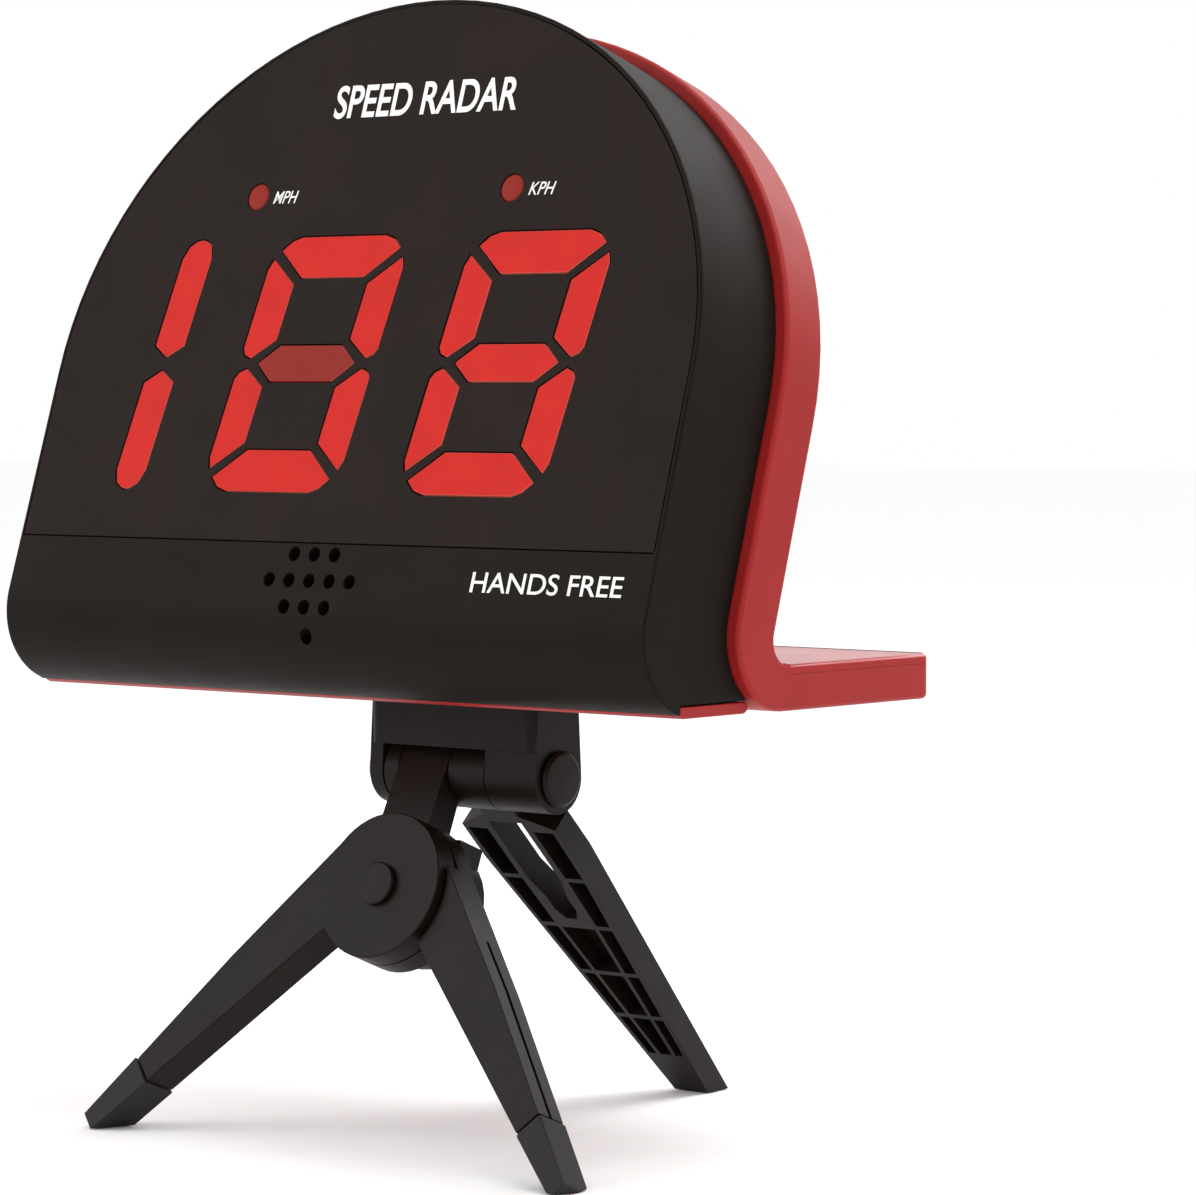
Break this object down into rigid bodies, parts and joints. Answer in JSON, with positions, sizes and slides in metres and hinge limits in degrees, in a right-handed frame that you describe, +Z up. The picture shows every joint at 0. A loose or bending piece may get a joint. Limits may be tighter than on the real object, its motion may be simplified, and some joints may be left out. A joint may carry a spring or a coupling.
{
  "type": "sports speed radar",
  "caption": "D-shaped display head that leans back on an L-shaped rear cover, with a seven-segment window and a speaker grille, on a folding mini tripod with a tilt barrel.",
  "frame": {"origin": "middle of the bounding box's base, on the surface the three tripod feet stand on", "axes": "+Z up, the display faces -Y, +X to the right of someone who looks at the display"},
  "size_m": [0.1702, 0.1218, 0.2229],
  "materials": {
    "case_black": "satin black moulded plastic with a fine spark-eroded grain",
    "window_black": "matte smoked display window",
    "case_red": "satin red moulded plastic",
    "lamp_red": "lit translucent red segments",
    "lamp_dim": "unlit translucent red",
    "label_white": "white printed legend",
    "tripod_black": "glass-filled nylon, low sheen",
    "boot_rubber": "moulded rubber",
    "circuit_green": "solder-masked board",
    "steel": "zinc-plated",
    "brass": "turned",
    "cell_wrap": "plain cell sleeve"
  },
  "bodies": {
    "hub": {"hub": "tripod_black", "leg_rivet": "tripod_black"},
    "leg_left": {"leg_left": "tripod_black", "boot_left": "boot_rubber"},
    "leg_right": {"leg_right": "tripod_black", "boot_right": "boot_rubber"},
    "leg_rear": {"leg_rear": "tripod_black"},
    "tilt": {"tilt_block": "tripod_black", "tilt_washer": "tripod_black", "tilt_pin": "steel", "pin_cap": "tripod_black", "mount_screw": "steel"},
    "head": {"front_housing": "case_black", "display_window": "window_black", "digit_hundreds": "lamp_red", "digit_tens": "lamp_red", "digit_units": "lamp_red", "lamp_mph": "lamp_dim", "lamp_kph": "lamp_dim", "display_board": "circuit_green", "main_board": "circuit_green", "radar_antenna": "circuit_green", "antenna_shield": "steel", "speaker": "steel", "battery_box": "case_black", "battery_1": "cell_wrap", "battery_2": "cell_wrap", "battery_3": "cell_wrap", "battery_4": "cell_wrap", "contact_lower": "steel", "contact_upper": "steel", "button_board": "circuit_green", "case_screw_1": "steel", "case_screw_2": "steel", "case_screw_3": "steel", "case_screw_4": "steel", "rear_cover": "case_red", "foot_cover": "case_red", "base_plate": "case_red", "foot_screw_1": "steel", "foot_screw_2": "steel", "foot_screw_3": "steel", "foot_screw_4": "steel", "tripod_insert": "brass"},
    "battery_door": {"battery_door": "case_red"},
    "button_power": {"button_power": "case_black"},
    "button_units": {"button_units": "case_black"},
    "button_mode": {"button_mode": "case_black"}
  },
  "joints": [
    {"name": "leg_left_fold", "type": "hinge", "parent": "hub", "child": "leg_left", "pos_m": [0, -0.04024, 0.0512], "axis": [0, -0.9291, 0.3698], "range_deg": [0, 44]},
    {"name": "leg_right_fold", "type": "hinge", "parent": "hub", "child": "leg_right", "pos_m": [0, -0.04024, 0.0512], "axis": [0, 0.9291, -0.3698], "range_deg": [0, 44]},
    {"name": "leg_rear_fold", "type": "hinge", "parent": "hub", "child": "leg_rear", "pos_m": [0.0034, -0.01164, 0.071], "axis": [-1, 0, 0], "range_deg": [0, 40]},
    {"name": "head_tilt", "type": "hinge", "parent": "hub", "child": "tilt", "pos_m": [0, -0.01164, 0.071], "axis": [1, 0, 0], "range_deg": [-30, 30]},
    {"name": "head_pan", "type": "hinge", "parent": "tilt", "child": "head", "pos_m": [0, -0.01164, 0.088], "axis": [0, 0, 1], "continuous": true},
    {"name": "battery_door_hinge", "type": "hinge", "parent": "head", "child": "battery_door", "pos_m": [0, -0.0224, 0.11464], "axis": [-1, 0, 0], "range_deg": [0, 80]},
    {"name": "power_press", "type": "slide", "parent": "head", "child": "button_power", "axis": [0, -0.9532, 0.3024], "range_m": [0, 0.0008], "stiffness_N_per_m": 600, "springref_m": -0.0005},
    {"name": "units_press", "type": "slide", "parent": "head", "child": "button_units", "axis": [0, -0.9532, 0.3024], "range_m": [0, 0.0008], "stiffness_N_per_m": 600, "springref_m": -0.0005},
    {"name": "mode_press", "type": "slide", "parent": "head", "child": "button_mode", "axis": [0, -0.9532, 0.3024], "range_m": [0, 0.0008], "stiffness_N_per_m": 600, "springref_m": -0.0005}
  ]
}
